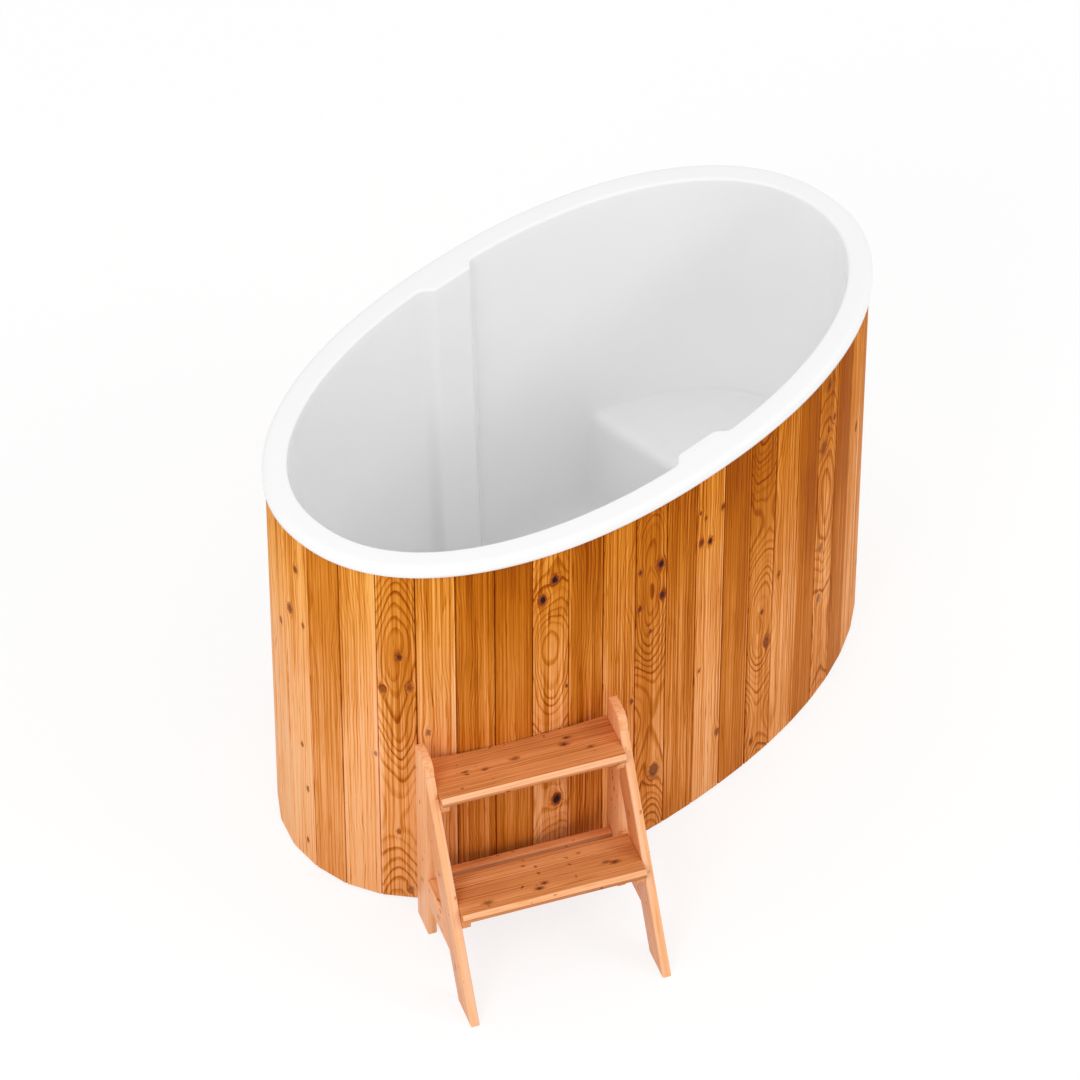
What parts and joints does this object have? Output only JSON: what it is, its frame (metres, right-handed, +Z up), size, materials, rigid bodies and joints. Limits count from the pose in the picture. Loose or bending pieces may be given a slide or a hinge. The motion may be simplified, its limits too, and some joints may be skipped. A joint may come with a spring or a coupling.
{
  "type": "cold plunge tub",
  "caption": "Oval cold plunge tub: moulded white liner with a wide rim and a bench, upright timber staves, a drain valve at the back and a free-standing timber step unit.",
  "frame": {"origin": "middle of the tub's footprint at floor level, on the underside of the middle skid", "axes": "+X along the tub towards the bench end, +Y towards the side where the drain comes out, +Z up"},
  "size_m": [1.7368, 1.4002, 1.045],
  "materials": {
    "liner_gelcoat": "glossy white gelcoat",
    "stave_wood": "oiled knotty softwood, satin",
    "frame_wood": "plain sawn softwood",
    "drain_plastic": "grey moulded plastic",
    "drain_steel": "brushed stainless steel",
    "lever_plastic": "dark moulded plastic",
    "step_wood": "oiled softwood boards, satin"
  },
  "bodies": {
    "tub": {"liner": "liner_gelcoat", "stave_pair_01": "stave_wood", "stave_pair_02": "stave_wood", "stave_pair_03": "stave_wood", "stave_pair_04": "stave_wood", "stave_pair_05": "stave_wood", "stave_pair_06": "stave_wood", "stave_pair_07": "stave_wood", "stave_pair_08": "stave_wood", "stave_pair_09": "stave_wood", "stave_pair_10": "stave_wood", "stave_pair_11": "stave_wood", "stave_pair_12": "stave_wood", "stave_pair_13": "stave_wood", "stave_pair_14": "stave_wood", "stave_pair_15": "stave_wood", "stave_pair_16": "stave_wood", "stave_pair_17": "stave_wood", "stave_pair_18": "stave_wood", "stave_pair_19": "stave_wood", "stave_pair_20": "stave_wood", "stave_pair_21": "stave_wood", "stave_pair_22": "stave_wood", "stave_pair_23": "stave_wood", "stave_single": "stave_wood", "hoop_lower": "frame_wood", "hoop_middle": "frame_wood", "hoop_upper": "frame_wood", "base_skid_left": "frame_wood", "base_skid_middle": "frame_wood", "base_skid_right": "frame_wood", "base_bearer_1": "frame_wood", "base_bearer_2": "frame_wood", "base_bearer_3": "frame_wood", "base_bearer_4": "frame_wood", "seat_prop": "frame_wood", "drain_locknut": "drain_plastic", "drain_elbow": "drain_plastic", "drain_pipe": "drain_plastic", "drain_collar": "drain_plastic", "drain_valve_body": "drain_plastic", "drain_hose_tail": "drain_plastic", "drain_waste": "drain_steel", "drain_strainer": "drain_steel"},
    "drain_handle": {"drain_valve_lever": "lever_plastic", "drain_valve_ball": "drain_steel"},
    "step_unit": {"step_rear_leg_left": "step_wood", "step_front_leg_left": "step_wood", "step_side_rail_left": "step_wood", "step_lower_cleat_left": "step_wood", "step_upper_cleat_left": "step_wood", "step_rear_leg_right": "step_wood", "step_front_leg_right": "step_wood", "step_side_rail_right": "step_wood", "step_lower_cleat_right": "step_wood", "step_upper_cleat_right": "step_wood", "step_tread_upper": "step_wood", "step_tread_lower_front": "step_wood", "step_tread_lower_rear": "step_wood", "step_rear_stretcher": "step_wood"}
  },
  "joints": [
    {"name": "drain_lever_turn", "type": "hinge", "parent": "tub", "child": "drain_handle", "pos_m": [-0.02251, 0.50612, 0.0633], "axis": [0, 0, 1], "range_deg": [0, 90]},
    {"name": "step_unit_pull", "type": "slide", "parent": "tub", "child": "step_unit", "axis": [-0.4289, -0.9033, 0], "range_m": [0, 0.5]}
  ]
}
